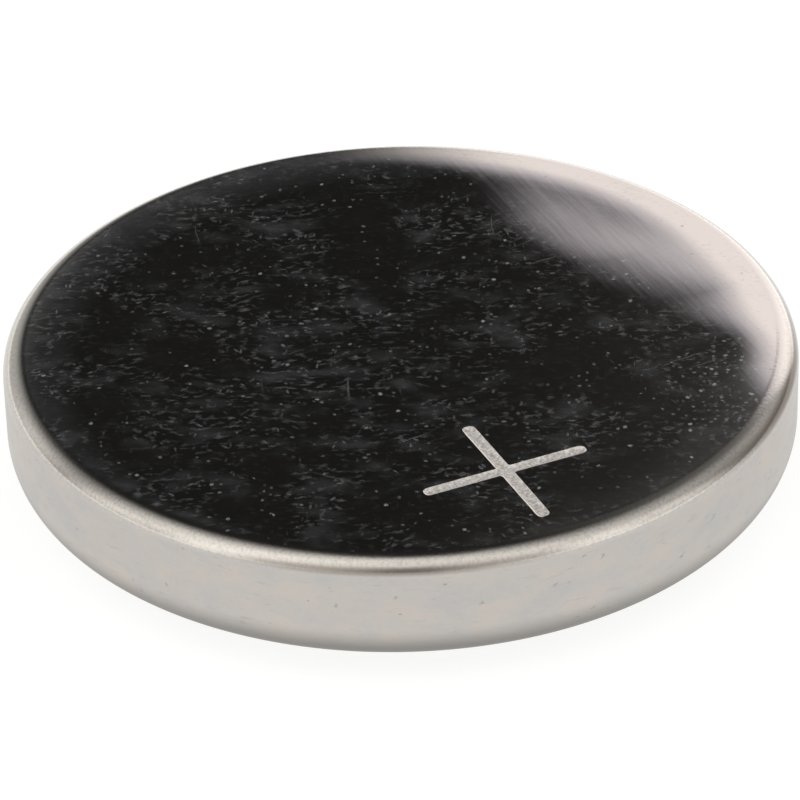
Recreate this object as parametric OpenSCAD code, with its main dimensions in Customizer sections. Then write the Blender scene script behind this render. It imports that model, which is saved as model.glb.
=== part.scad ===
// Lithium coin cell, 16 mm across and 3.2 mm high, lying on its negative cap.
// The origin is the centre of the negative face. +Z runs up the axis to the positive face.
// Every piece is a revolved section, so each section is drawn with the radius along x and z along y.
// All sizes are in millimetres, and angles in degrees.

/* [Cell] */
// Overall diameter
cell_d = 16; // [12:0.5:24]
// Overall height, from the negative face to the positive face
cell_h = 3.2; // [2.9:0.1:5.4]

/* [Positive can] */
// Thickness of the can's sheet steel
can_t = 0.2; // [0.15:0.01:0.3]
// Outer radius of the corner between the positive face and the side wall
can_corner_r = 0.45; // [0.35:0.01:0.6]
// Angle that the lip is rolled through over the gasket
crimp_sweep = 75; // [60:1:85]

/* [Negative cap] */
// Thickness of the cap's sheet steel
cap_t = 0.2; // [0.15:0.01:0.28]
// Height of the step, from the negative face to the shoulder
step_h = 1.16; // [0.9:0.01:1.4]
// Width of the shoulder, from the step's wall to the skirt
shoulder_w = 0.9; // [0.75:0.01:1.3]
// Outer radius of the corner between the negative face and the step's wall
cap_corner_r = 0.3; // [0.28:0.01:0.4]
// Radius in the angle between the step's wall and the shoulder
step_bend_r = 0.15; // [0.1:0.01:0.25]
// Outer radius of the bend between the shoulder and the skirt
shoulder_bend_r = 0.38; // [0.3:0.01:0.45]

/* [Gasket] */
// Thickness of the gasket between the can and the skirt
gasket_t = 0.35; // [0.2:0.01:0.45]
// Thickness of the gasket between the end of the skirt and the can's floor
gasket_base_t = 0.55; // [0.4:0.01:0.7]
// Thickness of the gasket's foot inside the skirt
gasket_foot_t = 0.3; // [0.2:0.01:0.35]
// Height that the foot reaches up inside the skirt
gasket_foot_h = 0.4; // [0.2:0.01:0.5]
// Angle that the gasket shows beyond the can's lip
gasket_show = 12; // [0:1:15]

/* [Lithium disc] */
// Thickness of the lithium foil
lithium_t = 0.72; // [0.4:0.01:0.8]
// Gap between the edge of the lithium and the step's wall
lithium_gap = 0.65; // [0.2:0.01:1]

/* [Separator] */
// Thickness of the separator
separator_t = 0.15; // [0.08:0.01:0.2]
// Height that the separator's edge is turned up around the pellet
separator_h = 0.9; // [0.5:0.01:1]
// Gap between the separator and the step's wall
separator_gap = 0.1; // [0.05:0.01:0.3]

/* [Cathode] */
// Radius on the edges of the pressed pellet
pellet_edge_r = 0.15; // [0.05:0.01:0.25]
// Thickness of the cathode ring's sheet steel
ring_t = 0.1; // [0.08:0.01:0.15]
// Height that the cathode ring covers of the pellet's side
ring_h = 0.8; // [0.5:0.01:0.9]
// Radius in the angle between the ring's wall and its flange
ring_bend_r = 0.1; // [0.05:0.01:0.2]
// Gap between the ring's flange and the gasket's foot
ring_gap = 0.1; // [0.05:0.01:0.2]

/* [Hidden] */
// Sides of a full turn about the axis, and of a full circle in a section
turn_fn = 144;
bend_fn = 64;
// Inside of the can
cell_r = cell_d / 2;
can_in_r = cell_r - can_t;
floor_z = cell_h - can_t;
can_corner_x = cell_r - can_corner_r;
can_corner_z = cell_h - can_corner_r;
// The skirt stands inside the gasket, and the step inside the skirt
skirt_r = can_in_r - gasket_t;
skirt_in_r = skirt_r - cap_t;
skirt_end_z = floor_z - gasket_base_t;
step_r = skirt_r - shoulder_w;
step_in_r = step_r - cap_t;
// The bends of the shoulder, the gasket and the lip share one centre
roll_x = skirt_r - shoulder_bend_r;
roll_z = step_h + shoulder_bend_r;
gasket_roll_r = shoulder_bend_r + gasket_t;
lip_roll_r = gasket_roll_r + can_t;
// Foot of the gasket
foot_in_r = skirt_in_r - gasket_foot_t;
foot_end_z = skirt_end_z - gasket_foot_h;
// Stack between the cap and the can's floor
lithium_r = step_in_r - lithium_gap;
separator_z = cap_t + lithium_t;
separator_r = step_in_r - separator_gap;
pellet_z = separator_z + separator_t;
pellet_r = separator_r - separator_t;
pellet_h = floor_z - pellet_z;
ring_flange_r = foot_in_r - ring_gap;

// Straight run of a section, between two radii and two heights
module run(r_from, r_to, z_from, z_to) {
    translate([r_from, z_from])
        square([r_to - r_from, z_to - z_from]);
}

// Bend of a section about its own centre, from one angle to another, up to a quarter turn
module bend(r_out, t, from, to) {
    reach = 2 * r_out;
    middle = (from + to) / 2;
    intersection() {
        difference() {
            circle(r = r_out, $fn = bend_fn);
            circle(r = r_out - t, $fn = bend_fn);
        }
        polygon([
            [0, 0],
            reach * [cos(from), sin(from)],
            reach * [cos(middle), sin(middle)],
            reach * [cos(to), sin(to)]
        ]);
    }
}

// What a rounded corner leaves of a square one. The corner lies at +x and +y from the centre
module corner_waste(r) {
    difference() {
        square(2 * r);
        circle(r = r, $fn = bend_fn);
    }
}

// Turns a section about the axis of the cell
module revolve() {
    rotate_extrude($fn = turn_fn)
        children();
}

// Positive can: a drawn cup, floor up, whose lip is rolled inwards over the gasket
module can() {
    color("#c9cbce")
        revolve() {
            run(0, can_corner_x, floor_z, cell_h);
            translate([can_corner_x, can_corner_z])
                bend(can_corner_r, can_t, 0, 90);
            run(can_in_r, cell_r, roll_z, can_corner_z);
            translate([roll_x, roll_z])
                bend(lip_roll_r, can_t, -crimp_sweep, 0);
        }
}

// Gasket: fills the can's corner, grips both sides of the skirt and follows the lip round the shoulder
module gasket() {
    corner_r = can_corner_r - can_t;
    color("#26221f")
        revolve() {
            difference() {
                run(foot_in_r, can_in_r, foot_end_z, floor_z);
                run(skirt_in_r, skirt_r, foot_end_z - 1, skirt_end_z);
                translate([can_corner_x, can_corner_z])
                    corner_waste(corner_r);
            }
            run(skirt_r, can_in_r, roll_z, foot_end_z);
            translate([roll_x, roll_z])
                bend(gasket_roll_r, gasket_t, -crimp_sweep - gasket_show, 0);
        }
}

// Negative cap: a pan with one step. Its skirt stands in the gasket
module cap() {
    step_bend_x = step_r + step_bend_r;
    step_bend_z = step_h - step_bend_r;
    color("#c3c5c7")
        revolve() {
            run(0, step_r - cap_corner_r, 0, cap_t);
            translate([step_r - cap_corner_r, cap_corner_r])
                bend(cap_corner_r, cap_t, -90, 0);
            run(step_in_r, step_r, cap_corner_r, step_bend_z);
            translate([step_bend_x, step_bend_z])
                bend(step_bend_r + cap_t, cap_t, 90, 180);
            run(step_bend_x, roll_x, step_h, step_h + cap_t);
            translate([roll_x, roll_z])
                bend(shoulder_bend_r, cap_t, -90, 0);
            run(skirt_in_r, skirt_r, roll_z, skirt_end_z);
        }
}

// Lithium disc: punched foil, pressed onto the inside of the cap
module lithium_anode() {
    color("#d9dbdd")
        translate([0, 0, cap_t])
            cylinder(h = lithium_t, r = lithium_r, $fn = turn_fn);
}

// Separator: a shallow cup that lies on the lithium, with its edge turned up round the pellet
module separator() {
    bend_r = pellet_edge_r + separator_t;
    color("#f1f0ea")
        revolve() {
            run(0, separator_r - bend_r, separator_z, pellet_z);
            translate([separator_r - bend_r, separator_z + bend_r])
                bend(bend_r, separator_t, -90, 0);
            run(pellet_r, separator_r, separator_z + bend_r, separator_z + separator_h);
        }
}

// Cathode pellet: a pressed tablet with rounded edges, against the can's floor
module cathode_pellet() {
    edge_x = pellet_r - pellet_edge_r;
    color("#2b2b2d")
        revolve()
            difference() {
                run(0, pellet_r, pellet_z, floor_z);
                translate([edge_x, floor_z - pellet_edge_r])
                    corner_waste(pellet_edge_r);
                translate([edge_x, pellet_z + pellet_edge_r])
                    mirror([0, 1])
                        corner_waste(pellet_edge_r);
            }
}

// Cathode ring: its wall holds the pellet's edge and its flange lies on the can's floor
module cathode_ring() {
    bend_x = pellet_r + ring_t + ring_bend_r;
    bend_z = floor_z - ring_t - ring_bend_r;
    color("#b4b6b9")
        revolve() {
            run(pellet_r, pellet_r + ring_t, floor_z - ring_h, bend_z);
            translate([bend_x, bend_z])
                bend(ring_bend_r + ring_t, ring_t, 90, 180);
            run(bend_x, ring_flange_r, floor_z - ring_t, floor_z);
        }
}

can();
gasket();
cap();
lithium_anode();
separator();
cathode_pellet();
cathode_ring();
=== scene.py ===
"""Looks of the lithium coin cell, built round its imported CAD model.

The can, the gasket and the cap are rebuilt with finer sections and the wear that shows. The parts sealed inside
keep their CAD solids and get their own finishes. Sizes are in millimetres until a mesh is finished, in metres after.
"""

import logging
import math
from abc import ABC, abstractmethod
from collections.abc import Callable, Iterable, Sequence
from dataclasses import dataclass, field
from enum import Enum, IntEnum
from typing import Any

import bmesh
import bpy
from mathutils import Matrix, Vector

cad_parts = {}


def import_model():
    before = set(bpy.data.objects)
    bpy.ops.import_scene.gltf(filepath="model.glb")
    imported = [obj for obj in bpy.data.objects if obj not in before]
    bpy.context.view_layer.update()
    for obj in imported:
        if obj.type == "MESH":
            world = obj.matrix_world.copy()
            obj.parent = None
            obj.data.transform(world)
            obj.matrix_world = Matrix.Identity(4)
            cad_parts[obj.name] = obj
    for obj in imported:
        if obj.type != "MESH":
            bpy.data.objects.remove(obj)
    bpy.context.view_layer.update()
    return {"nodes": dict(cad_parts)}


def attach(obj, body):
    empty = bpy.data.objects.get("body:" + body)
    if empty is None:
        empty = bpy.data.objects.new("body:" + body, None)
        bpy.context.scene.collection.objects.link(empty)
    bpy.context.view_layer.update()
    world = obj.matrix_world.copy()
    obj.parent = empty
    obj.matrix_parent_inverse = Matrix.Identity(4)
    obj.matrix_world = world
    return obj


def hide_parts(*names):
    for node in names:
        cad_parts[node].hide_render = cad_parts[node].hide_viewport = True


LOG = logging.getLogger("coin_cell")
MM = 0.001
ROOT = "root"
# Side in pixels of the square picture that the camera is fitted to
IMAGE_SIDE = 800

# Radius and height in mm of the bend that the lip, the gasket and the cap's shoulder turn about, and of the outside
# and the end of the cap's skirt, which the gasket grips
ROLL_CENTRE = (7.07, 1.54)
SKIRT = 7.45
SKIRT_END = 2.45

# A Mix node's sockets go by number, because its number and colour inputs bear the same names
NUMBER_A, NUMBER_B = 2, 3
COLOUR_A, COLOUR_B, COLOUR_OUT = 6, 7, 2

Section = list[tuple[float, float]]
Socket = bpy.types.NodeSocket


# ---------------------------------------------------------------- small helpers


def linear(code: str) -> tuple[float, float, float, float]:
    """Turns an sRGB hex colour into linear light.

    Args:
        code: The colour, such as "#c8c6c2".

    Returns:
        Red, green, blue and an alpha of 1.
    """
    parts = [int(code[i : i + 2], 16) / 255 for i in (1, 3, 5)]
    red, green, blue = (p / 12.92 if p <= 0.04045 else ((p + 0.055) / 1.055) ** 2.4 for p in parts)
    return (red, green, blue, 1.0)


def add_node(
    tree: bpy.types.NodeTree, kind: str, inputs: dict[str | int, Any] | None = None, **settings: Any
) -> bpy.types.Node:
    """Adds one node, with its settings and its links.

    Args:
        tree: The node tree of a material or of the world.
        kind: The node's type name.
        inputs: What goes into each input: a value, or the socket that it is linked from.
        **settings: Properties of the node, such as its operation.

    Returns:
        The new node.
    """
    node = tree.nodes.new(kind)
    for name, value in settings.items():
        setattr(node, name, value)
    for name, value in (inputs or {}).items():
        if isinstance(value, Socket):
            tree.links.new(value, node.inputs[name])
        else:
            node.inputs[name].default_value = value
    return node


def toward(azimuth: float, elevation: float) -> Vector:
    """Works out a direction away from the cell.

    Args:
        azimuth: Degrees from -Y, towards +X.
        elevation: Degrees above the horizon.

    Returns:
        The direction, of length 1.
    """
    a, e = math.radians(azimuth), math.radians(elevation)
    return Vector((math.sin(a) * math.cos(e), -math.cos(a) * math.cos(e), math.sin(e)))


def arc(
    centre: tuple[float, float], reach: float, start: float, end: float, steps: int, rise: float | None = None
) -> Section:
    """Draws a bend of a section.

    Args:
        centre: Radius and height of the bend's centre.
        reach: Radius of the bend along the section's radius.
        start: First angle in degrees, 0 outwards and 90 up.
        end: Last angle in degrees.
        steps: Number of steps between them.
        rise: Radius of the bend along the height, if it differs.

    Returns:
        The points of the bend, both ends among them.
    """
    angles = [math.radians(start + (end - start) * i / steps) for i in range(steps + 1)]
    return [
        (centre[0] + reach * math.cos(a), centre[1] + (reach if rise is None else rise) * math.sin(a)) for a in angles
    ]


def round_edge(centre: tuple[float, float], end: float, reach: float, rounding: float, start: float) -> Section:
    """Rounds one corner of the edge where a roll ends.

    Args:
        centre: Radius and height of the roll's centre.
        end: Angle in degrees at which the roll ends.
        reach: Distance from the roll's centre to that of the rounding, along the edge.
        rounding: Radius of the rounded corner.
        start: Angle in degrees at which the corner starts, 0 for the outer one and 90 for the inner one.

    Returns:
        The points of the corner, both ends among them.
    """
    angle = math.radians(end)
    out, along = Vector((math.cos(angle), math.sin(angle))), Vector((math.sin(angle), -math.cos(angle)))
    middle = Vector(centre) + out * reach - along * rounding
    turns = [math.radians(start + 22.5 * i) for i in range(5)]
    points = [middle + (out * math.cos(a) + along * math.sin(a)) * rounding for a in turns]
    return [(p.x, p.y) for p in points]


def finish_mesh(bm: bmesh.types.BMesh, name: str, finishes: Sequence["Finish"]) -> bpy.types.Object:
    """Turns a bmesh in millimetres into a smooth object in metres.

    Args:
        bm: The closed shell, whose doubles are merged here.
        name: The new object's name.
        finishes: The finish of each material index.

    Returns:
        The object, linked to the scene at the origin.
    """
    bmesh.ops.remove_doubles(bm, verts=bm.verts[:], dist=1e-5)
    bmesh.ops.recalc_face_normals(bm, faces=bm.faces[:])
    bmesh.ops.scale(bm, vec=(MM, MM, MM), verts=bm.verts[:])
    for face in bm.faces:
        face.smooth = True
    mesh = bpy.data.meshes.new(name)
    bm.to_mesh(mesh)
    bm.free()
    for finish in finishes:
        mesh.materials.append(finish.material())
    piece = bpy.data.objects.new(name, mesh)
    bpy.context.scene.collection.objects.link(piece)
    return piece


def spin_section(section: Section, sides: int, closed: bool) -> bmesh.types.BMesh:
    """Spins a section about the axis of the cell.

    Args:
        section: Radius and height of each point, in order.
        sides: Steps of the full turn.
        closed: Whether the last point joins the first. If not, both lie on the axis.

    Returns:
        The spun shell, in millimetres.
    """
    bm = bmesh.new()
    verts = [bm.verts.new((r, 0.0, z)) for r, z in section]
    edges = [bm.edges.new(pair) for pair in zip(verts, verts[1:])]
    if closed:
        edges.append(bm.edges.new((verts[-1], verts[0])))
    bmesh.ops.spin(bm, geom=verts + edges, cent=(0, 0, 0), axis=(0, 0, 1), angle=math.tau, steps=sides, use_merge=True)
    return bm


# ---------------------------------------------------------------- finishes


def lay_along(
    tree: bpy.types.NodeTree, millimetres: Socket, angle: float, seed: float, scale: tuple[float, float]
) -> Socket:
    """Turns and stretches surface coordinates, so that a pattern runs in one direction.

    Args:
        tree: The material's node tree.
        millimetres: Surface coordinates in mm.
        angle: Direction of the pattern in degrees.
        seed: Offset that keeps layers apart, in cells or waves of the pattern.
        scale: Cells or waves per mm along and across the pattern.

    Returns:
        The coordinates in cells or waves of the pattern.
    """
    turned = add_node(
        tree, "ShaderNodeVectorRotate", {"Vector": millimetres, "Angle": math.radians(-angle)}, rotation_type="Z_AXIS"
    ).outputs[0]
    return add_node(
        tree, "ShaderNodeMapping", {"Vector": turned, "Location": (seed, seed * 0.7, 0), "Scale": (*scale, 1)}
    ).outputs[0]


@dataclass(frozen=True)
class Dashes:
    """Short marks in the surface, scattered in one direction over stretched cells.

    Attributes:
        angle: Direction of the marks in degrees.
        cell: Length and width in mm of the cell that holds at most one mark.
        size: Half size of a mark, as a share of its cell.
        share: Share of the cells that hold one.
        depth: Weight of the marks in the sum.
        seed: Offset in cells that keeps layers apart.
    """

    angle: float
    cell: tuple[float, float]
    size: float
    share: float
    depth: float
    seed: float

    def mask(self, tree: bpy.types.NodeTree, millimetres: Socket, share: Socket | None = None) -> Socket:
        """Draws the marks.

        Args:
            tree: The material's node tree.
            millimetres: Surface coordinates in mm.
            share: Share of the cells that hold a mark, where it changes from place to place.

        Returns:
            A value that is 0 off the marks and up to depth on them.
        """
        spread = lay_along(tree, millimetres, self.angle, self.seed, (1 / self.cell[0], 1 / self.cell[1]))
        cells = add_node(
            tree,
            "ShaderNodeTexVoronoi",
            {"Vector": spread, "Scale": 1.0, "Randomness": 1.0},
            voronoi_dimensions="2D",
            feature="F1",
        )
        chance = add_node(tree, "ShaderNodeSeparateColor", {"Color": cells.outputs["Color"]}).outputs[0]
        kept = add_node(
            tree,
            "ShaderNodeMapRange",
            {"Value": chance, "From Min": self.share if share is None else share, "From Max": 0.0},
        )
        near = add_node(
            tree,
            "ShaderNodeMapRange",
            {
                "Value": cells.outputs["Distance"],
                "From Min": self.size,
                "From Max": self.size * 0.3,
                "To Max": self.depth,
            },
            interpolation_type="SMOOTHSTEP",
        )
        return add_node(
            tree, "ShaderNodeMath", {0: near.outputs[0], 1: kept.outputs[0]}, operation="MULTIPLY"
        ).outputs[0]


@dataclass(frozen=True)
class Smears:
    """Ragged soft marks: a noise drawn out in one direction, of which only the peaks show.

    Attributes:
        angle: Direction of the marks in degrees.
        scale: Waves per mm along and across the marks.
        peak: Noise values between which a mark fades in.
        depth: Weight of the marks in the sum.
        seed: Offset in waves that keeps layers apart.
    """

    angle: float
    scale: tuple[float, float]
    peak: tuple[float, float]
    depth: float
    seed: float

    def mask(self, tree: bpy.types.NodeTree, millimetres: Socket) -> Socket:
        """Draws the marks.

        Args:
            tree: The material's node tree.
            millimetres: Surface coordinates in mm.

        Returns:
            A value that is 0 off the marks and up to depth on them.
        """
        drawn = lay_along(tree, millimetres, self.angle, self.seed, self.scale)
        noise = add_node(
            tree,
            "ShaderNodeTexNoise",
            {"Vector": drawn, "Scale": 1.0, "Detail": 2.0, "Roughness": 0.5},
            noise_dimensions="2D",
        )
        return add_node(
            tree,
            "ShaderNodeMapRange",
            {"Value": noise.outputs[0], "From Min": self.peak[0], "From Max": self.peak[1], "To Max": self.depth},
        ).outputs[0]


class Finish(ABC):
    """A finish of the cell: one real material and how its surface was made.

    Attributes:
        name: The material's name.
    """

    name: str

    def material(self) -> bpy.types.Material:
        """Gives the Blender material, made at its first use.

        Returns:
            The material, under the finish's name.
        """
        made = bpy.data.materials.get(self.name)
        if made is None:
            made = bpy.data.materials.new(self.name)
            made.use_nodes = True
            made.node_tree.nodes.clear()
            shader = self.shade(made.node_tree)
            add_node(made.node_tree, "ShaderNodeOutputMaterial", {"Surface": shader})
        return made

    def millimetres(self, tree: bpy.types.NodeTree) -> Socket:
        """Gives the object's own coordinates in mm, so that patterns are sized as the real ones."""
        place = add_node(tree, "ShaderNodeTexCoord")
        return add_node(
            tree, "ShaderNodeMapping", {"Vector": place.outputs["Object"], "Scale": (1 / MM,) * 3}
        ).outputs[0]

    @abstractmethod
    def shade(self, tree: bpy.types.NodeTree) -> Socket:
        """Builds the nodes.

        Args:
            tree: The material's empty node tree.

        Returns:
            The shader's output.
        """


@dataclass(frozen=True)
class Crease:
    """A stretch of the painted dark reflection along a line below the can's corner.

    Attributes:
        middle: Where the stretch is darkest, in mm.
        half_width: Distance in mm from the middle of the line to its faded edge.
        reach: How far the stretch runs from its middle, in mm.
        depth: Share of the painted dark reflection at its middle.
    """

    middle: tuple[float, float, float]
    half_width: float
    reach: float
    depth: float


@dataclass(frozen=True)
class Hollow:
    """A wide shallow hollow in the face, which bends the edge of a reflection.

    Attributes:
        centre: Its place across the face in mm.
        radius: Its radius in mm.
        depth: Its depth as a multiple of the plating's relief, below 0 for a rise.
    """

    centre: tuple[float, float]
    radius: float
    depth: float


@dataclass(frozen=True)
class PlatedCanSteel(Finish):
    """Nickel-plated steel strip, drawn into a can.

    The flat face keeps the bright rolled mirror, dulled by haze, smears and handling scratches. The drawn corner is
    finely pebbled, and the side wall is satin from the drawing die, with stains, streaks and nicks. Shade is painted
    into the colour as well: darker pits in the pebbling stand in for its sparkle, a painted dark reflection runs along
    a line below the corner, and the rolled lip is painted darker towards the bottom.

    Attributes:
        name: The material's name.
        plate: Colour of the clean plating.
        wall: Colour of the side wall.
        wall_stain: Colour of the fingermarks on the wall.
        lip: Colour of the painted shade on the rolled lip, which darkens it towards the bottom.
        dirt_and_pit_shade: Colour of nicks and rubbed streaks, and of the painted shade in the pits of the pebbling.
        painted_dark_reflection: Colour of the painted dark reflection along the line below the corner.
        scuff: Colour of what dulls the mirror.
        face_rough: Roughness of the mirror face.
        corner_rough: Roughness of the pebbled corner.
        wall_rough: Roughness of the satin wall.
        scuff_rough: Roughness of what dulls the mirror.
        relief: Height in mm that 1 stands for in the relief.
        pebbles: Height of the pebbling off the face, in the relief.
        waves: Height of the waves of the strip, in the relief.
        rolling: Height of the rolling lines, in the relief.
        top: Height of the positive face in mm.
        face_edge: Radius of the mirror in mm.
        face_fade: Distance in mm over which the mirror ends.
        wall_band: Depths below the top in mm between which the corner turns into the wall.
        lip_shade_band: Heights in mm between which the lip's painted shade fades in, from the wall to the lip.
        pit_shade_band: Depths below the top in mm between which the painted shade in the corner's pits begins.
        wall_pit_shade: Share of that painted pit shade that the wall keeps, as it is drawn smoother.
        nick_spread: How far in mm a noise nudges the nicks, which makes them ragged.
        crease_core: Distance in mm from the middle of the line at which its painted dark reflection begins to fade.
        crease_full: Distance in mm from the middle of a dark stretch at which it begins to fade.
        crease_base: Share of the painted dark reflection along the line, away from its dark stretches.
        creases: Stretches of painted dark reflection below the corner.
        hollows: Hollows in the face.
        nudges: How far in mm a slow and a quick noise nudge the marks on the face.
        cluster: Middle in mm of a cluster of specks near the edge.
        cluster_band: Distances in mm between which the cluster thickens.
        speck_share: Share of the cells that hold a speck, away from the cluster.
        cluster_share: What the cluster adds to that share in its middle.
        cluster_wear: Weight of smears and scratches in the cluster.
        veil_radius: Radius in mm of the haze over the cluster.
        veil_depth: Weight of that haze in its middle.
        clear: Middle in mm of the part of the face without haze.
        haze_band: Distances in mm from that middle between which the haze along the edge grows.
        haze_depth: Weight of that haze at the outer one.
        smears: Layers of smears.
        scratches: Layers of scratches.
        specks: Layers of specks.
    """

    name: str = "nickel_plated_drawn_steel"
    plate: str = "#c7c3bd"
    wall: str = "#c2bcb6"
    wall_stain: str = "#bab8b6"
    lip: str = "#7f7c78"
    dirt_and_pit_shade: str = "#8d8a86"
    painted_dark_reflection: str = "#7d746c"
    scuff: str = "#bfc1c6"
    face_rough: float = 0.034
    corner_rough: float = 0.17
    wall_rough: float = 0.45
    scuff_rough: float = 0.5
    relief: float = 0.003
    pebbles: float = 0.5
    waves: float = 2.0
    rolling: float = 0.09
    top: float = 3.2
    face_edge: float = 7.5
    face_fade: float = 0.2
    wall_band: tuple[float, float] = (0.28, 0.47)
    lip_shade_band: tuple[float, float] = (1.6, 0.9)
    pit_shade_band: tuple[float, float] = (0.06, 0.1)
    wall_pit_shade: float = 0.12
    nick_spread: float = 0.5
    crease_core: float = 0.02
    crease_full: float = 0.5
    crease_base: float = 0.12
    creases: tuple[Crease, ...] = (
        Crease((-3.66, -7.12, 2.885), 0.12, 4.0, 0.75),
        Crease((6.02, -5.27, 2.96), 0.17, 4.6, 1.0),
    )
    hollows: tuple[Hollow, ...] = (
        Hollow((6.03, 1.46), 2.8, 4.7),
        Hollow((5.52, 3.4), 2.8, 4.8),
        Hollow((6.33, -2.89), 1.5, -1.4),
    )
    nudges: tuple[float, float] = (0.4, 0.045)
    cluster: tuple[float, float] = (5.2, -5.0)
    cluster_band: tuple[float, float] = (2.2, 0.6)
    speck_share: float = 0.055
    cluster_share: float = 0.62
    cluster_wear: float = 0.4
    veil_radius: float = 1.6
    veil_depth: float = 0.03
    clear: tuple[float, float] = (0.08, -0.8)
    haze_band: tuple[float, float] = (6.9, 8.3)
    haze_depth: float = 0.075
    smears: tuple[Smears, ...] = (
        Smears(-24, (1.1, 1.9), (0.46, 0.80), 0.08, 5.0),
        Smears(-24, (4.5, 8.0), (0.54, 0.82), 0.22, 13.0),
    )
    scratches: tuple[Dashes, ...] = (
        Dashes(-22, (0.42, 0.17), 0.22, 0.16, 0.3, 3.1),
        Dashes(63, (0.5, 0.15), 0.22, 0.16, 0.27, 11.7),
        Dashes(18, (0.42, 0.17), 0.22, 0.14, 0.25, 29.0),
        Dashes(-72, (0.5, 0.15), 0.22, 0.18, 0.27, 43.0),
        Dashes(66, (6.0, 0.24), 0.11, 0.09, 0.3, 59.3),
        Dashes(-52, (9.0, 0.24), 0.11, 0.08, 0.28, 71.9),
        Dashes(9, (6.0, 0.24), 0.11, 0.08, 0.24, 83.3),
    )
    specks: tuple[Dashes, ...] = (
        Dashes(-24, (0.30, 0.32), 0.19, 0.08, 0.65, 91.1),
        Dashes(-24, (0.20, 0.21), 0.25, 0.07, 0.34, 97.3),
        Dashes(-24, (0.15, 0.17), 0.30, 0.07, 0.24, 21.7),
    )

    def shade(self, tree: bpy.types.NodeTree) -> Socket:
        """Builds the nodes.

        Args:
            tree: The material's empty node tree.

        Returns:
            The shader's output.
        """
        mm = self.millimetres(tree)
        split = add_node(tree, "ShaderNodeSeparateXYZ", {"Vector": mm})
        flat = add_node(tree, "ShaderNodeCombineXYZ", {"X": split.outputs["X"], "Y": split.outputs["Y"]}).outputs[0]
        radius = add_node(tree, "ShaderNodeVectorMath", {0: flat}, operation="LENGTH").outputs["Value"]

        # Masks of the flat face and of the straight wall below the corner
        on_face = add_node(
            tree,
            "ShaderNodeMapRange",
            {"Value": radius, "From Min": self.face_edge + self.face_fade, "From Max": self.face_edge},
            interpolation_type="SMOOTHSTEP",
        ).outputs[0]
        on_wall = add_node(
            tree,
            "ShaderNodeMapRange",
            {
                "Value": split.outputs["Z"],
                "From Min": self.top - self.wall_band[0],
                "From Max": self.top - self.wall_band[1],
            },
            interpolation_type="SMOOTHSTEP",
        ).outputs[0]
        rough = add_node(
            tree, "ShaderNodeMapRange", {"Value": on_wall, "To Min": self.corner_rough, "To Max": self.wall_rough}
        ).outputs[0]
        rough = add_node(
            tree, "ShaderNodeMix", {"Factor": on_face, NUMBER_A: rough, NUMBER_B: self.face_rough}, data_type="FLOAT"
        ).outputs[0]

        normal = self._relief(tree, mm, flat, on_face)
        colour = self._plating(tree, mm, split.outputs["Z"], on_wall)
        plated = add_node(
            tree,
            "ShaderNodeBsdfPrincipled",
            {"Base Color": colour, "Metallic": 1.0, "Roughness": rough, "Normal": normal},
        )
        scuffed = add_node(
            tree,
            "ShaderNodeBsdfPrincipled",
            {"Base Color": linear(self.scuff), "Metallic": 0.4, "Roughness": self.scuff_rough},
        )
        scuffs = add_node(
            tree, "ShaderNodeMath", {0: self._scuffs(tree, flat), 1: on_face}, operation="MULTIPLY"
        ).outputs[0]
        return add_node(
            tree, "ShaderNodeMixShader", {"Fac": scuffs, 1: plated.outputs[0], 2: scuffed.outputs[0]}
        ).outputs[0]

    def _plating(self, tree: bpy.types.NodeTree, mm: Socket, height: Socket, on_wall: Socket) -> Socket:
        """Colours the plating: clean face, stained wall, and painted shade on the lip, in the pits and below the
        corner.

        Args:
            tree: The material's node tree.
            mm: Object coordinates in mm.
            height: Height above the floor, in mm.
            on_wall: Mask of the side wall.

        Returns:
            The colour.
        """
        # Fingermarks on the satin wall, from a millimetre down to a tenth of one across
        drawn = add_node(tree, "ShaderNodeMapping", {"Vector": mm, "Scale": (0.9, 0.9, 1.6)}).outputs[0]
        stain = add_node(
            tree, "ShaderNodeTexNoise", {"Vector": drawn, "Scale": 1.0, "Detail": 4.0, "Roughness": 0.72}
        ).outputs[0]
        tone = add_node(tree, "ShaderNodeMapRange", {"Value": stain, "From Min": 0.38, "From Max": 0.62}).outputs[0]
        wall = add_node(
            tree,
            "ShaderNodeMix",
            {"Factor": tone, COLOUR_A: linear(self.wall), COLOUR_B: linear(self.wall_stain)},
            data_type="RGBA",
        ).outputs[COLOUR_OUT]
        colour = add_node(
            tree, "ShaderNodeMix", {"Factor": on_wall, COLOUR_A: linear(self.plate), COLOUR_B: wall}, data_type="RGBA"
        ).outputs[COLOUR_OUT]
        # Painted shade: the rolled lip darkens towards the bottom, as if it reflected the shade under the cell
        lip = add_node(
            tree,
            "ShaderNodeMapRange",
            {"Value": height, "From Min": self.lip_shade_band[0], "From Max": self.lip_shade_band[1]},
            interpolation_type="SMOOTHSTEP",
        ).outputs[0]
        colour = add_node(
            tree, "ShaderNodeMix", {"Factor": lip, COLOUR_A: colour, COLOUR_B: linear(self.lip)}, data_type="RGBA"
        ).outputs[COLOUR_OUT]
        # Nicks and rubbed streaks are real dirt; the darker pits of the corner are painted shade
        dirt_and_pit_shade = self._highest(tree, [self._dirt(tree, mm, on_wall), self._pit_shading(tree, mm, height, on_wall)])
        colour = add_node(
            tree, "ShaderNodeMix", {"Factor": dirt_and_pit_shade, COLOUR_A: colour, COLOUR_B: linear(self.dirt_and_pit_shade)}, data_type="RGBA"
        ).outputs[COLOUR_OUT]
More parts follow.
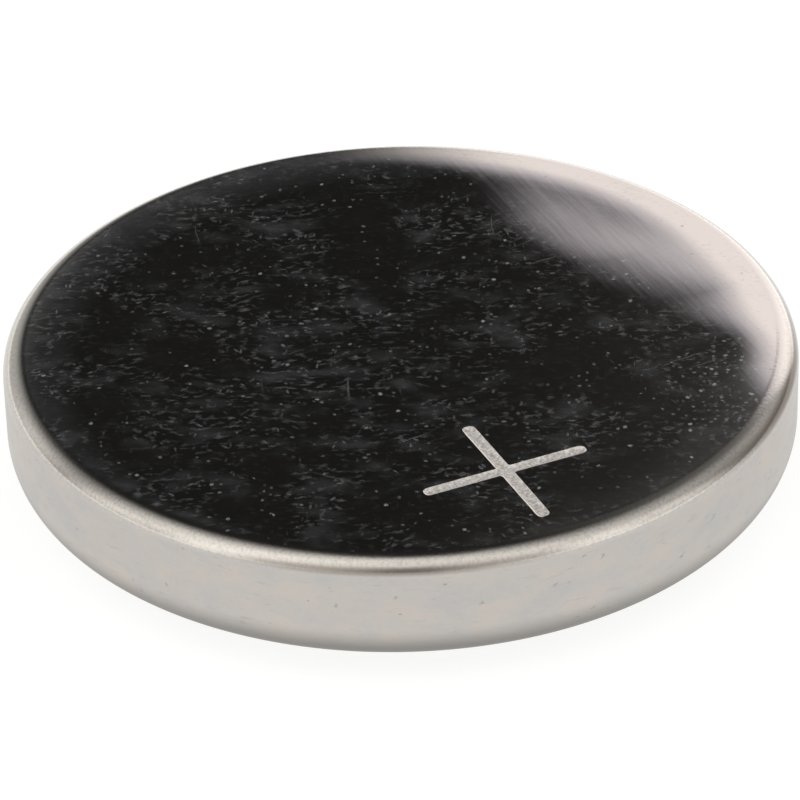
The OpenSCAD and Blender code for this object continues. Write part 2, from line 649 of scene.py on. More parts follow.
        # Painted reflection: a dark line below the corner, darkest at the front and the right, stands in for a dark
        # reflection
        painted_dark_reflection = self._painted_crease_reflection(tree, mm, height)
        return add_node(
            tree, "ShaderNodeMix", {"Factor": painted_dark_reflection, COLOUR_A: colour, COLOUR_B: linear(self.painted_dark_reflection)}, data_type="RGBA"
        ).outputs[COLOUR_OUT]

    def _dirt(self, tree: bpy.types.NodeTree, mm: Socket, on_wall: Socket) -> Socket:
        """Marks the rubbed streaks and the nicks of the side wall.

        Args:
            tree: The material's node tree.
            mm: Object coordinates in mm.
            on_wall: Mask of the side wall.

        Returns:
            The share of the surface that is dull.
        """
        # Streaks round the wall, up to half a millimetre long
        long = add_node(tree, "ShaderNodeMapping", {"Vector": mm, "Scale": (1.8, 1.8, 11.0)}).outputs[0]
        rub = add_node(
            tree, "ShaderNodeTexNoise", {"Vector": long, "Scale": 1.0, "Detail": 3.0, "Roughness": 0.65}
        ).outputs[0]
        rubbed = add_node(
            tree, "ShaderNodeMapRange", {"Value": rub, "From Min": 0.6, "From Max": 0.8, "To Max": 0.45}
        ).outputs[0]
        # Nicks from cells knocking together: ragged, 0.03 to 0.1 mm across and thinly spread
        ragged = add_node(
            tree, "ShaderNodeVectorMath", {0: rub, 1: (self.nick_spread,) * 3, 2: mm}, operation="MULTIPLY_ADD"
        ).outputs[0]
        cells = add_node(
            tree, "ShaderNodeTexVoronoi", {"Vector": ragged, "Scale": 1.9, "Randomness": 1.0}, feature="F1"
        ).outputs["Distance"]
        nicks = add_node(
            tree,
            "ShaderNodeMapRange",
            {"Value": cells, "From Min": 0.11, "From Max": 0.03, "To Max": 0.75},
            interpolation_type="SMOOTHSTEP",
        ).outputs[0]
        dirt_and_pit_shade = self._highest(tree, [nicks, rubbed])
        return add_node(tree, "ShaderNodeMath", {0: dirt_and_pit_shade, 1: on_wall}, operation="MULTIPLY").outputs[0]

    def _pit_shading(self, tree: bpy.types.NodeTree, mm: Socket, height: Socket, on_wall: Socket) -> Socket:
        """Marks the painted shade in the pits of the pebbled corner, which makes its highlight speckle like sparkle.

        Args:
            tree: The material's node tree.
            mm: Object coordinates in mm.
            height: Height above the floor, in mm.
            on_wall: Mask of the side wall.

        Returns:
            The share of the surface that is painted darker.
        """
        # The pebbles are those of the relief, 0.03 mm across and drawn at 0.07 mm
        pebble = add_node(tree, "ShaderNodeTexNoise", {"Vector": mm, "Scale": 15.0, "Detail": 1.0}).outputs[0]
        # Painted shade: the pebbling's low places are darkened, which makes the highlight speckle like sparkle
        pits = add_node(
            tree, "ShaderNodeMapRange", {"Value": pebble, "From Min": 0.42, "From Max": 0.7, "To Max": 0.26}
        ).outputs[0]
        below_face = add_node(
            tree,
            "ShaderNodeMapRange",
            {"Value": height, "From Min": self.top - self.pit_shade_band[0], "From Max": self.top - self.pit_shade_band[1]},
        ).outputs[0]
        pits = add_node(tree, "ShaderNodeMath", {0: pits, 1: below_face}, operation="MULTIPLY").outputs[0]
        off_wall = add_node(
            tree, "ShaderNodeMapRange", {"Value": on_wall, "To Min": 1.0, "To Max": self.wall_pit_shade}
        ).outputs[0]
        return add_node(tree, "ShaderNodeMath", {0: pits, 1: off_wall}, operation="MULTIPLY").outputs[0]

    def _painted_crease_reflection(self, tree: bpy.types.NodeTree, mm: Socket, height: Socket) -> Socket:
        """Marks the painted dark reflection along a line below the corner.

        Args:
            tree: The material's node tree.
            mm: Object coordinates in mm.
            height: Height above the floor, in mm.

        Returns:
            The share of the surface that is painted darker.
        """
        marks = []
        for crease in self.creases:
            off = add_node(tree, "ShaderNodeMath", {0: height, 1: crease.middle[2]}, operation="SUBTRACT").outputs[0]
            off = add_node(tree, "ShaderNodeMath", {0: off}, operation="ABSOLUTE").outputs[0]
            line = add_node(
                tree,
                "ShaderNodeMapRange",
                {"Value": off, "From Min": crease.half_width, "From Max": self.crease_core},
                interpolation_type="SMOOTHSTEP",
            ).outputs[0]
            gap = add_node(
                tree, "ShaderNodeVectorMath", {0: mm, 1: crease.middle}, operation="DISTANCE"
            ).outputs["Value"]
            stretch = add_node(
                tree,
                "ShaderNodeMapRange",
                {
                    "Value": gap,
                    "From Min": crease.reach,
                    "From Max": self.crease_full,
                    "To Min": self.crease_base,
                    "To Max": crease.depth,
                },
                interpolation_type="SMOOTHSTEP",
            ).outputs[0]
            marks.append(add_node(tree, "ShaderNodeMath", {0: line, 1: stretch}, operation="MULTIPLY").outputs[0])
        return self._highest(tree, marks)

    def _scuffs(self, tree: bpy.types.NodeTree, flat: Socket) -> Socket:
        """Sums what dulls the mirror of the face: haze, smears, scratches and specks.

        Args:
            tree: The material's node tree.
            flat: Coordinates across the face, in mm.

        Returns:
            The share of the surface that is dulled, from 0 to 1.
        """
        # Marks bend a little and have ragged edges, so their coordinates are nudged by a slow and a quick noise
        far, little = self.nudges
        slow = add_node(
            tree, "ShaderNodeTexNoise", {"Vector": flat, "Scale": 0.5, "Detail": 1.0}, noise_dimensions="2D"
        ).outputs["Color"]
        quick = add_node(
            tree, "ShaderNodeTexNoise", {"Vector": flat, "Scale": 7.0, "Detail": 1.0}, noise_dimensions="2D"
        ).outputs["Color"]
        bent = add_node(
            tree, "ShaderNodeVectorMath", {0: slow, 1: (far, far, 0.0), 2: flat}, operation="MULTIPLY_ADD"
        ).outputs[0]
        bent = add_node(
            tree, "ShaderNodeVectorMath", {0: quick, 1: (little, little, 0.0), 2: bent}, operation="MULTIPLY_ADD"
        ).outputs[0]

        # Handling wear comes in patches, and a cluster of specks lies near the edge
        patch = add_node(
            tree,
            "ShaderNodeTexNoise",
            {"Vector": flat, "Scale": 0.55, "Detail": 3.0, "Roughness": 0.6},
            noise_dimensions="2D",
        ).outputs[0]
        worn = add_node(
            tree,
            "ShaderNodeMapRange",
            {"Value": patch, "From Min": 0.38, "From Max": 0.62, "To Min": 0.08, "To Max": 1.0},
            interpolation_type="SMOOTHSTEP",
        ).outputs[0]
        gap = add_node(
            tree, "ShaderNodeVectorMath", {0: flat, 1: (*self.cluster, 0.0)}, operation="DISTANCE"
        ).outputs["Value"]
        near = add_node(
            tree,
            "ShaderNodeMapRange",
            {"Value": gap, "From Min": self.cluster_band[0], "From Max": self.cluster_band[1]},
            interpolation_type="SMOOTHSTEP",
        ).outputs[0]
        handled = add_node(tree, "ShaderNodeMath", {0: near, 1: self.cluster_wear}, operation="MULTIPLY").outputs[0]
        marks = self._highest(tree, [layer.mask(tree, bent) for layer in self.smears + self.scratches])
        marks = add_node(
            tree, "ShaderNodeMath", {0: marks, 1: self._highest(tree, [worn, handled])}, operation="MULTIPLY"
        ).outputs[0]

        # A thin haze lies over the cluster and along the edge of the face
        away = add_node(
            tree, "ShaderNodeVectorMath", {0: flat, 1: (*self.clear, 0.0)}, operation="DISTANCE"
        ).outputs["Value"]
        haze = add_node(
            tree,
            "ShaderNodeMapRange",
            {"Value": away, "From Min": self.haze_band[0], "From Max": self.haze_band[1], "To Max": self.haze_depth},
        ).outputs[0]
        veil = add_node(
            tree,
            "ShaderNodeMapRange",
            {"Value": gap, "From Min": self.veil_radius, "From Max": 0.0, "To Max": self.veil_depth},
            interpolation_type="SMOOTHSTEP",
        ).outputs[0]
        haze = add_node(tree, "ShaderNodeMath", {0: haze, 1: veil}, operation="ADD").outputs[0]
        dulled = add_node(tree, "ShaderNodeMath", {0: haze, 1: marks}, operation="ADD").outputs[0]

        share = add_node(
            tree, "ShaderNodeMath", {0: near, 1: self.cluster_share, 2: self.speck_share}, operation="MULTIPLY_ADD"
        ).outputs[0]
        dots = self._highest(tree, [layer.mask(tree, bent, share) for layer in self.specks])
        return self._highest(tree, [dulled, dots])

    @staticmethod
    def _highest(tree: bpy.types.NodeTree, masks: Sequence[Socket]) -> Socket:
        """Takes the highest of several masks at each place.

        Args:
            tree: The material's node tree.
            masks: The masks.

        Returns:
            Their maximum.
        """
        total = masks[0]
        for mask in masks[1:]:
            total = add_node(tree, "ShaderNodeMath", {0: total, 1: mask}, operation="MAXIMUM").outputs[0]
        return total

    def _relief(self, tree: bpy.types.NodeTree, mm: Socket, flat: Socket, on_face: Socket) -> Socket:
        """Builds the surface's relief: pebbling, rolling lines, waves and hollows.

        Args:
            tree: The material's node tree.
            mm: Object coordinates in mm.
            flat: Coordinates across the face, in mm.
            on_face: Mask of the flat face.

        Returns:
            The normal.
        """
        off_face = add_node(
            tree, "ShaderNodeMapRange", {"Value": on_face, "To Min": self.pebbles, "To Max": 0.0}
        ).outputs[0]
        # Drawing pebbles the corner and the wall. The real grain of 0.03 mm is drawn at 0.07 mm so that it shows
        grain = add_node(
            tree, "ShaderNodeTexNoise", {"Vector": mm, "Scale": 14.0, "Detail": 2.0, "Roughness": 0.6}
        ).outputs[0]
        height = add_node(tree, "ShaderNodeMath", {0: grain, 1: off_face}, operation="MULTIPLY").outputs[0]
        # The strip isn't perfectly flat: waves 2 to 4 mm long, and rolling lines along Y that streak the reflections
        wave = add_node(
            tree,
            "ShaderNodeTexNoise",
            {"Vector": flat, "Scale": 0.3, "Detail": 1.0, "Roughness": 0.45},
            noise_dimensions="2D",
        ).outputs[0]
        height = add_node(
            tree, "ShaderNodeMath", {0: wave, 1: self.waves, 2: height}, operation="MULTIPLY_ADD"
        ).outputs[0]
        along = add_node(tree, "ShaderNodeMapping", {"Vector": flat, "Scale": (3.2, 0.35, 1.0)}).outputs[0]
        lines = add_node(
            tree,
            "ShaderNodeTexNoise",
            {"Vector": along, "Scale": 1.0, "Detail": 2.0, "Roughness": 0.6},
            noise_dimensions="2D",
        ).outputs[0]
        height = add_node(
            tree, "ShaderNodeMath", {0: lines, 1: self.rolling, 2: height}, operation="MULTIPLY_ADD"
        ).outputs[0]
        # Hollows and rises of about a hundredth of a millimetre bend the edge of the bright reflection
        for hollow in self.hollows:
            gap = add_node(
                tree, "ShaderNodeVectorMath", {0: flat, 1: (*hollow.centre, 0.0)}, operation="DISTANCE"
            ).outputs["Value"]
            dip = add_node(
                tree,
                "ShaderNodeMapRange",
                {"Value": gap, "From Min": hollow.radius, "From Max": 0.0, "To Max": -hollow.depth},
                interpolation_type="SMOOTHSTEP",
            ).outputs[0]
            height = add_node(tree, "ShaderNodeMath", {0: height, 1: dip}, operation="ADD").outputs[0]
        return add_node(
            tree, "ShaderNodeBump", {"Height": height, "Strength": 1.0, "Distance": self.relief * MM}
        ).outputs[0]


@dataclass(frozen=True)
class EtchedMark(Finish):
    """Nickel-plated steel, coined and etched matte: it scatters light from every side, as a pale frosted grey.

    Attributes:
        name: The material's name.
        pale: Colour of the tops of the grain.
        dull: Colour of its pits.
        rough: Roughness.
    """

    name: str = "etched_nickel"
    pale: str = "#f2efea"
    dull: str = "#aeaaa6"
    rough: float = 0.6

    def shade(self, tree: bpy.types.NodeTree) -> Socket:
        """Builds the nodes.

        Args:
            tree: The material's empty node tree.

        Returns:
            The shader's output.
        """
        mm = self.millimetres(tree)
        # Etch grain of about 0.01 mm, drawn at 0.08 mm so that it shows
        grain = add_node(
            tree, "ShaderNodeTexNoise", {"Vector": mm, "Scale": 13.0, "Detail": 3.0, "Roughness": 0.7}
        ).outputs[0]
        tone = add_node(tree, "ShaderNodeMapRange", {"Value": grain, "From Min": 0.35, "From Max": 0.65}).outputs[0]
        colour = add_node(
            tree,
            "ShaderNodeMix",
            {"Factor": tone, COLOUR_A: linear(self.dull), COLOUR_B: linear(self.pale)},
            data_type="RGBA",
        ).outputs[COLOUR_OUT]
        relief = add_node(tree, "ShaderNodeBump", {"Height": grain, "Strength": 1.0, "Distance": 0.012 * MM}).outputs[0]
        return add_node(
            tree,
            "ShaderNodeBsdfPrincipled",
            {"Base Color": colour, "Metallic": 0.25, "Roughness": self.rough, "Normal": relief},
        ).outputs[0]


@dataclass(frozen=True)
class PressedCapSteel(Finish):
    """Nickel-plated stainless steel, pressed into a stepped pan: even satin, a shade darker than the can.

    Attributes:
        name: The material's name.
        plate: Colour of the clean plating.
        rubbed: Colour where the punch has rubbed it.
        rough: Lowest and highest roughness.
    """

    name: str = "nickel_plated_stainless"
    plate: str = "#bdbbb8"
    rubbed: str = "#aeaca9"
    rough: tuple[float, float] = (0.23, 0.4)

    def shade(self, tree: bpy.types.NodeTree) -> Socket:
        """Builds the nodes.

        Args:
            tree: The material's empty node tree.

        Returns:
            The shader's output.
        """
        mm = self.millimetres(tree)
        # Fine rolling grain along X, 0.07 mm apart, and clouds of about a millimetre where the punch has rubbed
        lines = add_node(tree, "ShaderNodeMapping", {"Vector": mm, "Scale": (0.6, 14.0, 6.0)})
        grain = add_node(
            tree, "ShaderNodeTexNoise", {"Vector": lines.outputs[0], "Scale": 1.0, "Detail": 3.0, "Roughness": 0.6}
        ).outputs[0]
        cloud = add_node(
            tree, "ShaderNodeTexNoise", {"Vector": mm, "Scale": 1.1, "Detail": 4.0, "Roughness": 0.6}
        ).outputs[0]
        rough = add_node(
            tree,
            "ShaderNodeMapRange",
            {"Value": cloud, "From Min": 0.3, "From Max": 0.7, "To Min": self.rough[0], "To Max": self.rough[1]},
        ).outputs[0]
        colour = add_node(
            tree,
            "ShaderNodeMix",
            {"Factor": cloud, COLOUR_A: linear(self.plate), COLOUR_B: linear(self.rubbed)},
            data_type="RGBA",
        ).outputs[COLOUR_OUT]
        relief = add_node(tree, "ShaderNodeBump", {"Height": grain, "Strength": 0.8, "Distance": 0.004 * MM}).outputs[0]
        return add_node(
            tree,
            "ShaderNodeBsdfPrincipled",
            {"Base Color": colour, "Metallic": 1.0, "Roughness": rough, "Normal": relief},
        ).outputs[0]


@dataclass(frozen=True)
class MouldedGasket(Finish):
    """Injection-moulded polypropylene with a bitumen sealant film: near black, softly waxy.

    Attributes:
        name: The material's name.
        body: Colour of the bare plastic.
        sealant: Colour where the film is thickest.
        rough: Lowest and highest roughness.
    """

    name: str = "moulded_polypropylene"
    body: str = "#26221f"
    sealant: str = "#1b1816"
    rough: tuple[float, float] = (0.34, 0.54)

    def shade(self, tree: bpy.types.NodeTree) -> Socket:
        """Builds the nodes.

        Args:
            tree: The material's empty node tree.

        Returns:
            The shader's output.
        """
        mm = self.millimetres(tree)
        # Mould texture and an uneven film, a tenth of a millimetre across
        skin = add_node(
            tree, "ShaderNodeTexNoise", {"Vector": mm, "Scale": 7.0, "Detail": 4.0, "Roughness": 0.6}
        ).outputs[0]
        colour = add_node(
            tree,
            "ShaderNodeMix",
            {"Factor": skin, COLOUR_A: linear(self.body), COLOUR_B: linear(self.sealant)},
            data_type="RGBA",
        ).outputs[COLOUR_OUT]
        rough = add_node(
            tree,
            "ShaderNodeMapRange",
            {"Value": skin, "From Min": 0.3, "From Max": 0.7, "To Min": self.rough[0], "To Max": self.rough[1]},
        ).outputs[0]
        relief = add_node(tree, "ShaderNodeBump", {"Height": skin, "Strength": 0.6, "Distance": 0.006 * MM}).outputs[0]
        return add_node(
            tree, "ShaderNodeBsdfPrincipled", {"Base Color": colour, "Roughness": rough, "IOR": 1.49, "Normal": relief}
        ).outputs[0]


@dataclass(frozen=True)
class LithiumFoil(Finish):
    """Extruded lithium strip, punched: soft silver with extrusion lines and a dull nitride bloom.

    Attributes:
        name: The material's name.
        bright: Colour of the clean metal.
        bloom: Colour of the bloom.
        rough: Roughness of the clean metal and of the bloom.
    """

    name: str = "extruded_lithium"
    bright: str = "#d3d4d6"
    bloom: str = "#8f8f94"
    rough: tuple[float, float] = (0.42, 0.67)

    def shade(self, tree: bpy.types.NodeTree) -> Socket:
        """Builds the nodes.

        Args:
            tree: The material's empty node tree.

        Returns:
            The shader's output.
        """
        mm = self.millimetres(tree)
        # Extrusion lines along X, 0.1 mm apart, and bloom in patches of a millimetre or two
        lines = add_node(tree, "ShaderNodeMapping", {"Vector": mm, "Scale": (0.3, 9.0, 9.0)})
        drawn = add_node(
            tree, "ShaderNodeTexNoise", {"Vector": lines.outputs[0], "Scale": 1.0, "Detail": 4.0, "Roughness": 0.65}
        ).outputs[0]
        patch = add_node(
            tree, "ShaderNodeTexNoise", {"Vector": mm, "Scale": 0.7, "Detail": 5.0, "Roughness": 0.7}
        ).outputs[0]
        dull = add_node(tree, "ShaderNodeMapRange", {"Value": patch, "From Min": 0.45, "From Max": 0.7}).outputs[0]
        colour = add_node(
            tree,
            "ShaderNodeMix",
            {"Factor": dull, COLOUR_A: linear(self.bright), COLOUR_B: linear(self.bloom)},
            data_type="RGBA",
        ).outputs[COLOUR_OUT]
        rough = add_node(
            tree, "ShaderNodeMapRange", {"Value": dull, "To Min": self.rough[0], "To Max": self.rough[1]}
        ).outputs[0]
        relief = add_node(tree, "ShaderNodeBump", {"Height": drawn, "Strength": 0.8, "Distance": 0.01 * MM}).outputs[0]
        return add_node(
            tree,
            "ShaderNodeBsdfPrincipled",
            {"Base Color": colour, "Metallic": 1.0, "Roughness": rough, "Normal": relief},
        ).outputs[0]


@dataclass(frozen=True)
class NonWovenFilm(Finish):
    """Non-woven polypropylene separator: matte white felt of fine fibres, damp with electrolyte.

    Attributes:
        name: The material's name.
        fibre: Colour of the fibres on top.
        gap: Colour between them.
        rough: Roughness.
    """

    name: str = "nonwoven_polypropylene"
    fibre: str = "#efeee9"
    gap: str = "#cfcdc6"
    rough: float = 0.8

    def shade(self, tree: bpy.types.NodeTree) -> Socket:
        """Builds the nodes.

        Args:
            tree: The material's empty node tree.

        Returns:
            The shader's output.
        """
        mm = self.millimetres(tree)
        # Fibres of 0.02 mm, drawn at 0.06 mm in two crossing layers so that they show
        one = add_node(tree, "ShaderNodeMapping", {"Vector": mm, "Rotation": (0, 0, 0.6), "Scale": (1.5, 16.0, 3.0)})
        two = add_node(tree, "ShaderNodeMapping", {"Vector": mm, "Rotation": (0, 0, -0.9), "Scale": (1.5, 16.0, 3.0)})
        first = add_node(
            tree, "ShaderNodeTexNoise", {"Vector": one.outputs[0], "Scale": 1.0, "Detail": 3.0, "Distortion": 1.2}
        ).outputs[0]
        second = add_node(
            tree, "ShaderNodeTexNoise", {"Vector": two.outputs[0], "Scale": 1.0, "Detail": 3.0, "Distortion": 1.2}
        ).outputs[0]
        felt = add_node(tree, "ShaderNodeMath", {0: first, 1: second}, operation="MAXIMUM").outputs[0]
        tone = add_node(tree, "ShaderNodeMapRange", {"Value": felt, "From Min": 0.4, "From Max": 0.7}).outputs[0]
        colour = add_node(
            tree,
            "ShaderNodeMix",
            {"Factor": tone, COLOUR_A: linear(self.gap), COLOUR_B: linear(self.fibre)},
            data_type="RGBA",
        ).outputs[COLOUR_OUT]
        relief = add_node(tree, "ShaderNodeBump", {"Height": felt, "Strength": 0.9, "Distance": 0.02 * MM}).outputs[0]
        return add_node(
            tree,
            "ShaderNodeBsdfPrincipled",
            {"Base Color": colour, "Roughness": self.rough, "IOR": 1.49, "Normal": relief},
        ).outputs[0]


@dataclass(frozen=True)
class PressedOxide(Finish):
    """Manganese dioxide pressed with graphite: a sooty black tablet with a dull graphite glint.

    Attributes:
        name: The material's name.
        oxide: Colour of the oxide.
        graphite: Colour of the graphite flakes.
        rough: Roughness of the oxide and of the graphite.
    """

    name: str = "pressed_manganese_dioxide"
    oxide: str = "#1f1f21"
    graphite: str = "#3b3b3e"
    rough: tuple[float, float] = (0.7, 0.45)

    def shade(self, tree: bpy.types.NodeTree) -> Socket:
        """Builds the nodes.

        Args:
            tree: The material's empty node tree.

        Returns:
            The shader's output.
        """
        mm = self.millimetres(tree)
        # Grains and flakes of 0.02 mm, drawn at 0.09 mm so that they show
        powder = add_node(
            tree, "ShaderNodeTexNoise", {"Vector": mm, "Scale": 11.0, "Detail": 5.0, "Roughness": 0.7}
        ).outputs[0]
        flake = add_node(tree, "ShaderNodeMapRange", {"Value": powder, "From Min": 0.5, "From Max": 0.72}).outputs[0]
        colour = add_node(
            tree,
            "ShaderNodeMix",
            {"Factor": flake, COLOUR_A: linear(self.oxide), COLOUR_B: linear(self.graphite)},
            data_type="RGBA",
        ).outputs[COLOUR_OUT]
        rough = add_node(
            tree, "ShaderNodeMapRange", {"Value": flake, "To Min": self.rough[0], "To Max": self.rough[1]}
        ).outputs[0]
        relief = add_node(tree, "ShaderNodeBump", {"Height": powder, "Strength": 0.8, "Distance": 0.02 * MM}).outputs[0]
        return add_node(
            tree, "ShaderNodeBsdfPrincipled", {"Base Color": colour, "Roughness": rough, "IOR": 1.6, "Normal": relief}
        ).outputs[0]


@dataclass(frozen=True)
class StampedRingSteel(Finish):
    """Thin stainless steel, stamped: dull grey with fine punch lines.

    Attributes:
        name: The material's name.
        sheet: Colour of the sheet.
        line: Colour of the punch lines.
        rough: Lowest and highest roughness.
    """

    name: str = "stamped_stainless"
    sheet: str = "#b3b4b6"
    line: str = "#a2a3a5"
    rough: tuple[float, float] = (0.28, 0.44)

    def shade(self, tree: bpy.types.NodeTree) -> Socket:
        """Builds the nodes.

        Args:
            tree: The material's empty node tree.

        Returns:
            The shader's output.
        """
        mm = self.millimetres(tree)
        # Draw lines run up the wall, 0.08 mm apart
        lines = add_node(tree, "ShaderNodeMapping", {"Vector": mm, "Scale": (12.0, 12.0, 0.8)})
        drawn = add_node(
            tree, "ShaderNodeTexNoise", {"Vector": lines.outputs[0], "Scale": 1.0, "Detail": 3.0}
        ).outputs[0]
        rough = add_node(
            tree,
            "ShaderNodeMapRange",
            {"Value": drawn, "From Min": 0.3, "From Max": 0.7, "To Min": self.rough[0], "To Max": self.rough[1]},
        ).outputs[0]
        colour = add_node(
            tree,
            "ShaderNodeMix",
            {"Factor": drawn, COLOUR_A: linear(self.sheet), COLOUR_B: linear(self.line)},
            data_type="RGBA",
        ).outputs[COLOUR_OUT]
        relief = add_node(tree, "ShaderNodeBump", {"Height": drawn, "Strength": 0.7, "Distance": 0.004 * MM}).outputs[0]
        return add_node(
            tree,
            "ShaderNodeBsdfPrincipled",
            {"Base Color": colour, "Metallic": 1.0, "Roughness": rough, "Normal": relief},
        ).outputs[0]


@dataclass(frozen=True)
class LightTable(Finish):
    """Opal acrylic table lit from below: a plain, almost shadowless pale floor.

    Attributes:
        name: The material's name.
        sheet: Colour of the acrylic.
        light: Colour of the light below it.
        glow: Brightness of that light.
        rough: Roughness.
    """

    name: str = "opal_acrylic"
    sheet: str = "#8c8c8b"
    light: str = "#fdfdfc"
    glow: float = 0.87
    rough: float = 0.9

    def shade(self, tree: bpy.types.NodeTree) -> Socket:
        """Builds the nodes.

        Args:
            tree: The material's empty node tree.

        Returns:
            The shader's output.
        """
        return add_node(
            tree,
            "ShaderNodeBsdfPrincipled",
            {
                "Base Color": linear(self.sheet),
                "Roughness": self.rough,
                "Specular IOR Level": 0.1,
                "Emission Color": linear(self.light),
                "Emission Strength": self.glow,
            },
        ).outputs[0]


# ---------------------------------------------------------------- shells


class RingShell:
    """A shell drawn ring by ring: each new ring is an extrusion of the last one, moved into place.

    Attributes:
        bm: The shell so far, in millimetres.
    """

    def __init__(self, sides: int, middle: Vector, first: Callable[[float], Vector], material: int) -> None:
        """Starts the shell with a capped disc.

        Args:
            sides: Vertices of a ring.
            middle: Centre of the cap.
            first: Where a vertex of the first ring lies, by its angle.
            material: Material index of the cap.
        """
        self.bm = bmesh.new()
        self._turn = self.bm.verts.layers.float.new("turn")
        bmesh.ops.create_circle(self.bm, cap_ends=True, cap_tris=True, segments=sides, radius=1.0)
        for face in self.bm.faces:
            face.material_index = material
        rim = {v for e in self.bm.edges if e.is_boundary for v in e.verts}
        for vert in self.bm.verts:
            if vert in rim:
                vert[self._turn] = math.atan2(vert.co.y, vert.co.x) % math.tau
                vert.co = first(vert[self._turn])
            else:
                vert.co = middle
        self._edges = [e for e in self.bm.edges if e.is_boundary]

    def grow(self, where: Callable[[float], Vector], material: int = 0) -> None:
        """Adds a ring.

        Args:
            where: Where a vertex of the ring lies, by its angle.
            material: Material index of the new faces.
        """
        made = bmesh.ops.extrude_edge_only(self.bm, edges=self._edges)["geom"]
        for part in made:
            if isinstance(part, bmesh.types.BMVert):
                part.co = where(part[self._turn])
            elif isinstance(part, bmesh.types.BMFace):
                part.material_index = material
        self._edges = [e for e in made if isinstance(e, bmesh.types.BMEdge) and e.is_boundary]

    def grow_section(self, section: Iterable[tuple[float, float]]) -> None:
        """Adds one round ring for each point of a section."""
        for radius, height in section:
            self.grow(lambda turn, r=radius, z=height: Vector((r * math.cos(turn), r * math.sin(turn), z)))

    def close(self, height: float) -> None:
        """Closes the shell at a point on the axis.

        Args:
            height: Height of that point.
        """
        self.grow(lambda turn: Vector((0, 0, height)))
        verts = list({v for e in self._edges for v in e.verts})
        bmesh.ops.pointmerge(self.bm, verts=verts, merge_co=(0, 0, height))


@dataclass(frozen=True)
class PlusMark:
    """The plus sign, a shallow frosted groove with a rounded bottom.

    Attributes:
        centre: Its place on the face.
        half_length: From its centre to the end of an arm.
        half_width: Half the width of an arm.
        end_round: Radius of the corners at the end of an arm.
        crotch: Radius between two arms.
        depth: Depth of the recess.
        groove: Rings of the rounded groove, as how far each is grown from the outline and its share of the depth.
        brow: Rings of the face round the groove, as how far each is grown from the outline.
        patch: Radius of the round patch of the face that carries the sign.
        steps: Rings between the brow and the patch, as shares of the way.
    """

    centre: tuple[float, float] = (-0.288, -5.424)
    half_length: float = 1.72
    half_width: float = 0.125
    end_round: float = 0.105
    crotch: float = 0.05
    depth: float = 0.05
    groove: tuple[tuple[float, float], ...] = (
        (-0.105, 1.0), (-0.08, 0.92), (-0.055, 0.74), (-0.03, 0.45), (-0.01, 0.16), (0.0, 0.05)
    )
    brow: tuple[float, ...] = (0.008, 0.03, 0.1)
    patch: float = 2.0
    steps: tuple[float, ...] = (0.08, 0.2, 0.4, 0.65, 1.0)

    def reach(self, turn: float, grown: float) -> float:
        """Measures the sign's outline from its centre.

        Args:
            turn: Direction from the centre, in radians.
            grown: How far the outline is moved outwards.

        Returns:
            The distance to the outline.
        """
        fold = abs((turn + math.pi / 4) % (math.pi / 2) - math.pi / 4)
        c, s = math.cos(fold), math.sin(fold)
        length, width = self.half_length + grown, self.half_width + grown
        corner = min(self.end_round + max(grown, -0.06), width)
        side = width / s if s > 1e-9 else math.inf
        # The fillet between two arms, then the side, the rounded corner and the end of an arm
        if side * c < width + self.crotch:
            return self._circle(c, s, width + self.crotch, width + self.crotch, self.crotch, -1)
        if side * c <= length - corner:
            return side
        if length / c * s <= width - corner:
            return length / c
        return self._circle(c, s, length - corner, width - corner, corner, 1)

    @staticmethod
    def _circle(c: float, s: float, x: float, y: float, radius: float, sign: int) -> float:
        """Measures the distance along a ray to a circle, nearer with sign -1 and farther with 1."""
        along = c * x + s * y
        return along + sign * math.sqrt(max(radius**2 - (x * x + y * y - along**2), 0.0))


class CanCoat(IntEnum):
    """Material slots of the can."""

    PLATED = 0
    FROSTED = 1


